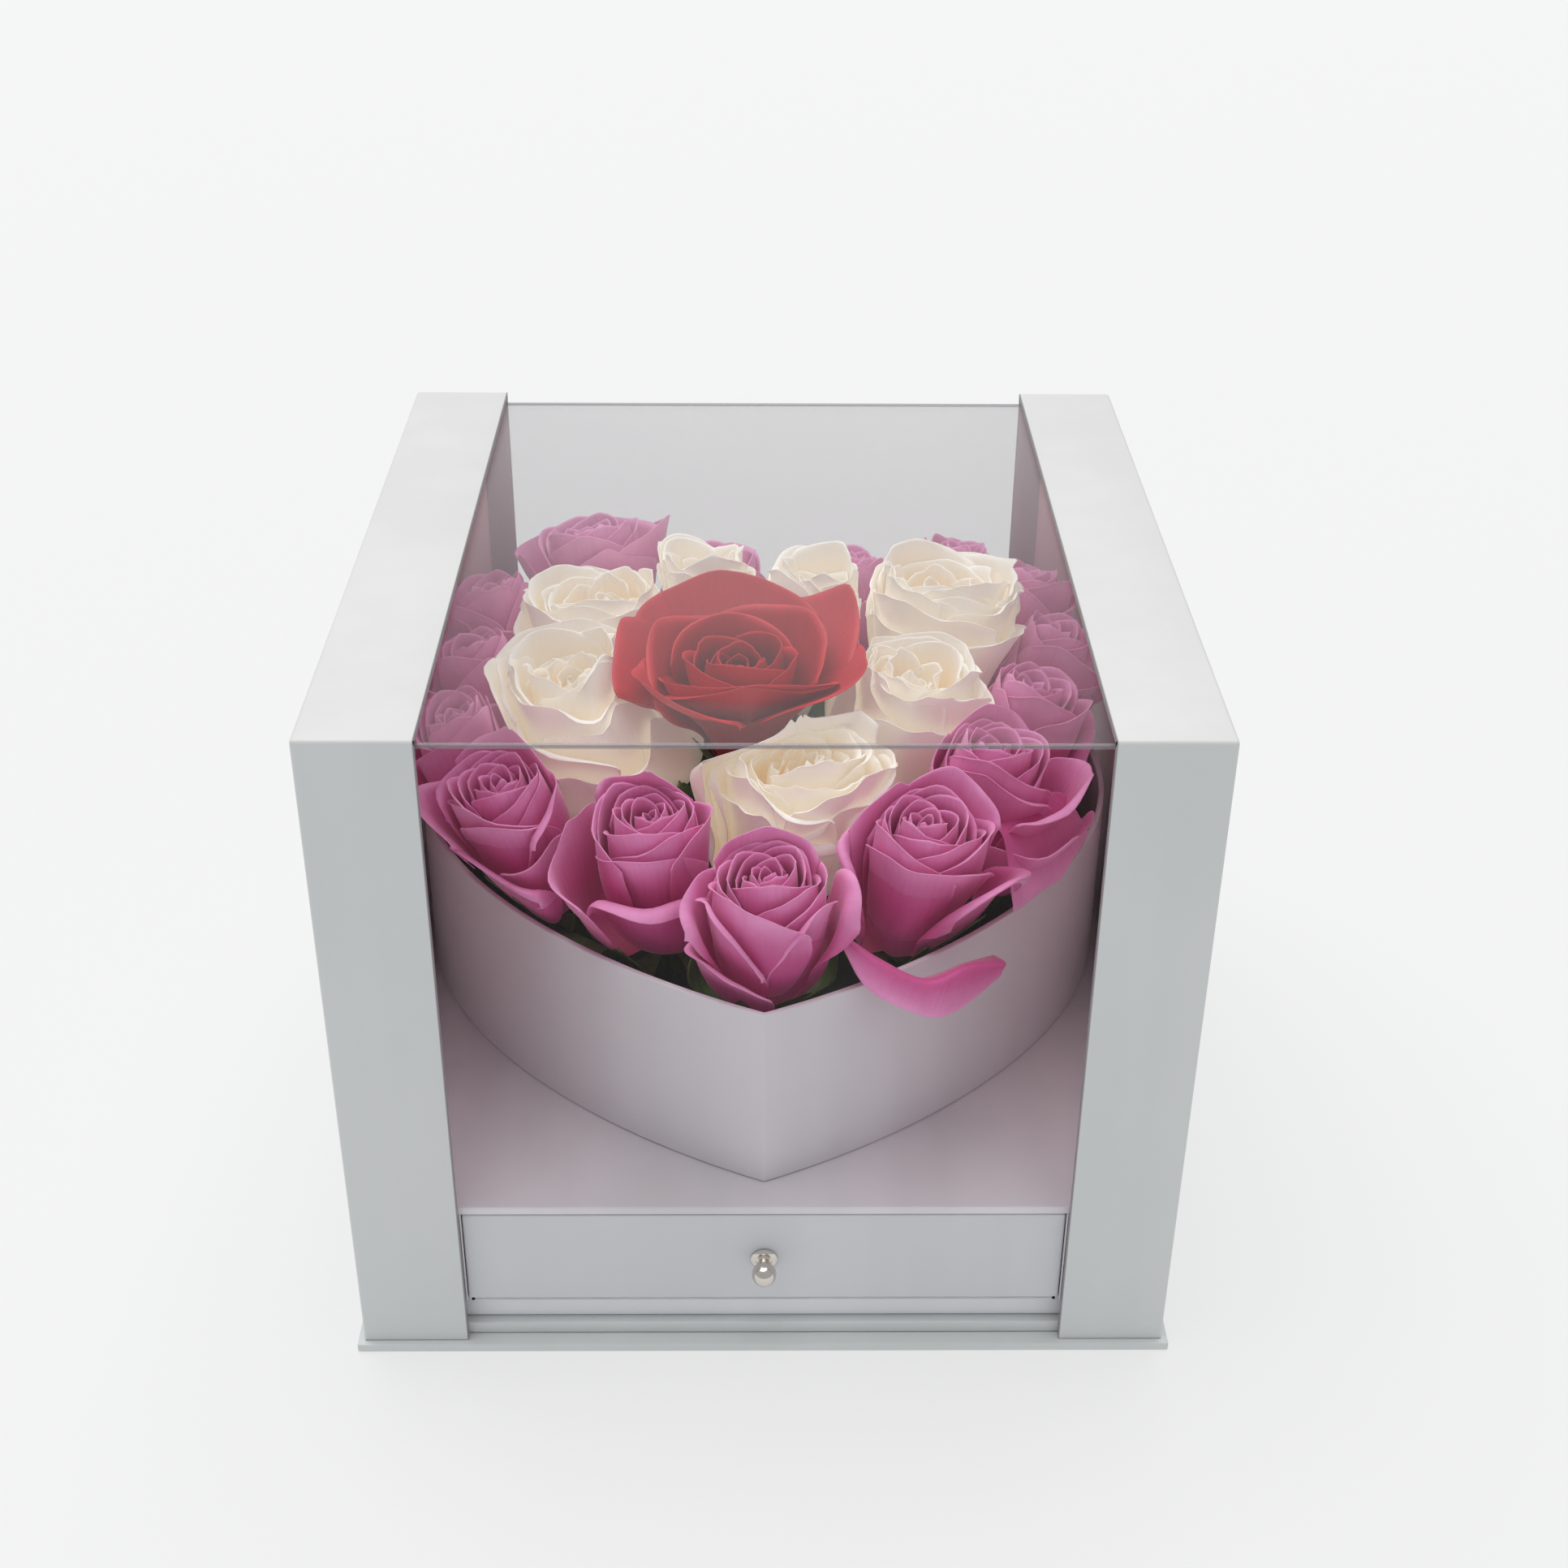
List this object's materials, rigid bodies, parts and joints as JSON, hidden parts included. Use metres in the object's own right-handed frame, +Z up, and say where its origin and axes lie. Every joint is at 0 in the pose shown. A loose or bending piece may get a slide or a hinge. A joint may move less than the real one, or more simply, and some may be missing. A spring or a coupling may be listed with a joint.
{
  "type": "rose box with drawer",
  "caption": "Square gift box: a heart-shaped box of cut roses stands on a drawer chest, under a lift-off board sleeve with a clear window over its front, top and back.",
  "frame": {"origin": "centre of the base board's underside", "axes": "+X to the viewer's right, +Y to the back, +Z up; the drawer opens towards -Y"},
  "size_m": [0.254, 0.2617, 0.2198],
  "materials": {
    "white_board": "greyboard wrapped in smooth white paper with a soft pearl sheen",
    "inner_board": "greyboard wrapped in white paper, with a faint lilac cast from the roses",
    "clear_film": "clear glossy sheet",
    "nickel": "polished nickel",
    "wet_foam": "dark green wet floral foam, fine open pores",
    "green_stem": "smooth green stem and calyx",
    "mauve_pink_petals": "satin mauve pink petals, paler at the lips",
    "cream_petals": "satin cream petals, peach in the folds",
    "red_petals": "velvety deep red petals"
  },
  "bodies": {
    "box": {"base_board": "white_board", "locating_board": "white_board", "plinth": "white_board", "drawer_chest": "inner_board", "sleeve_left": "white_board", "sleeve_right": "white_board", "window_film": "clear_film", "heart_wall": "inner_board", "heart_base": "inner_board", "floral_foam": "wet_foam", "pink_rose_1": "mauve_pink_petals", "pink_rose_1_stem": "green_stem", "pink_rose_2": "mauve_pink_petals", "pink_rose_2_stem": "green_stem", "pink_rose_3": "mauve_pink_petals", "pink_rose_3_stem": "green_stem", "pink_rose_4": "mauve_pink_petals", "pink_rose_4_stem": "green_stem", "pink_rose_5": "mauve_pink_petals", "pink_rose_5_stem": "green_stem", "pink_rose_6": "mauve_pink_petals", "pink_rose_6_stem": "green_stem", "pink_rose_7": "mauve_pink_petals", "pink_rose_7_stem": "green_stem", "pink_rose_8": "mauve_pink_petals", "pink_rose_8_stem": "green_stem", "pink_rose_9": "mauve_pink_petals", "pink_rose_9_stem": "green_stem", "pink_rose_10": "mauve_pink_petals", "pink_rose_10_stem": "green_stem", "pink_rose_11": "mauve_pink_petals", "pink_rose_11_stem": "green_stem", "pink_rose_12": "mauve_pink_petals", "pink_rose_12_stem": "green_stem", "pink_rose_13": "mauve_pink_petals", "pink_rose_13_stem": "green_stem", "pink_rose_14": "mauve_pink_petals", "pink_rose_14_stem": "green_stem", "pink_rose_15": "mauve_pink_petals", "pink_rose_15_stem": "green_stem", "cream_rose_1": "cream_petals", "cream_rose_1_stem": "green_stem", "cream_rose_2": "cream_petals", "cream_rose_2_stem": "green_stem", "cream_rose_3": "cream_petals", "cream_rose_3_stem": "green_stem", "cream_rose_4": "cream_petals", "cream_rose_4_stem": "green_stem", "cream_rose_5": "cream_petals", "cream_rose_5_stem": "green_stem", "cream_rose_6": "cream_petals", "cream_rose_6_stem": "green_stem", "cream_rose_7": "cream_petals", "cream_rose_7_stem": "green_stem", "red_rose_1": "red_petals", "red_rose_1_stem": "green_stem"},
    "drawer": {"drawer": "inner_board", "drawer_knob": "nickel"}
  },
  "joints": [
    {"name": "drawer_slide", "type": "slide", "parent": "box", "child": "drawer", "axis": [0, -1, 0], "range_m": [0, 0.15]}
  ]
}
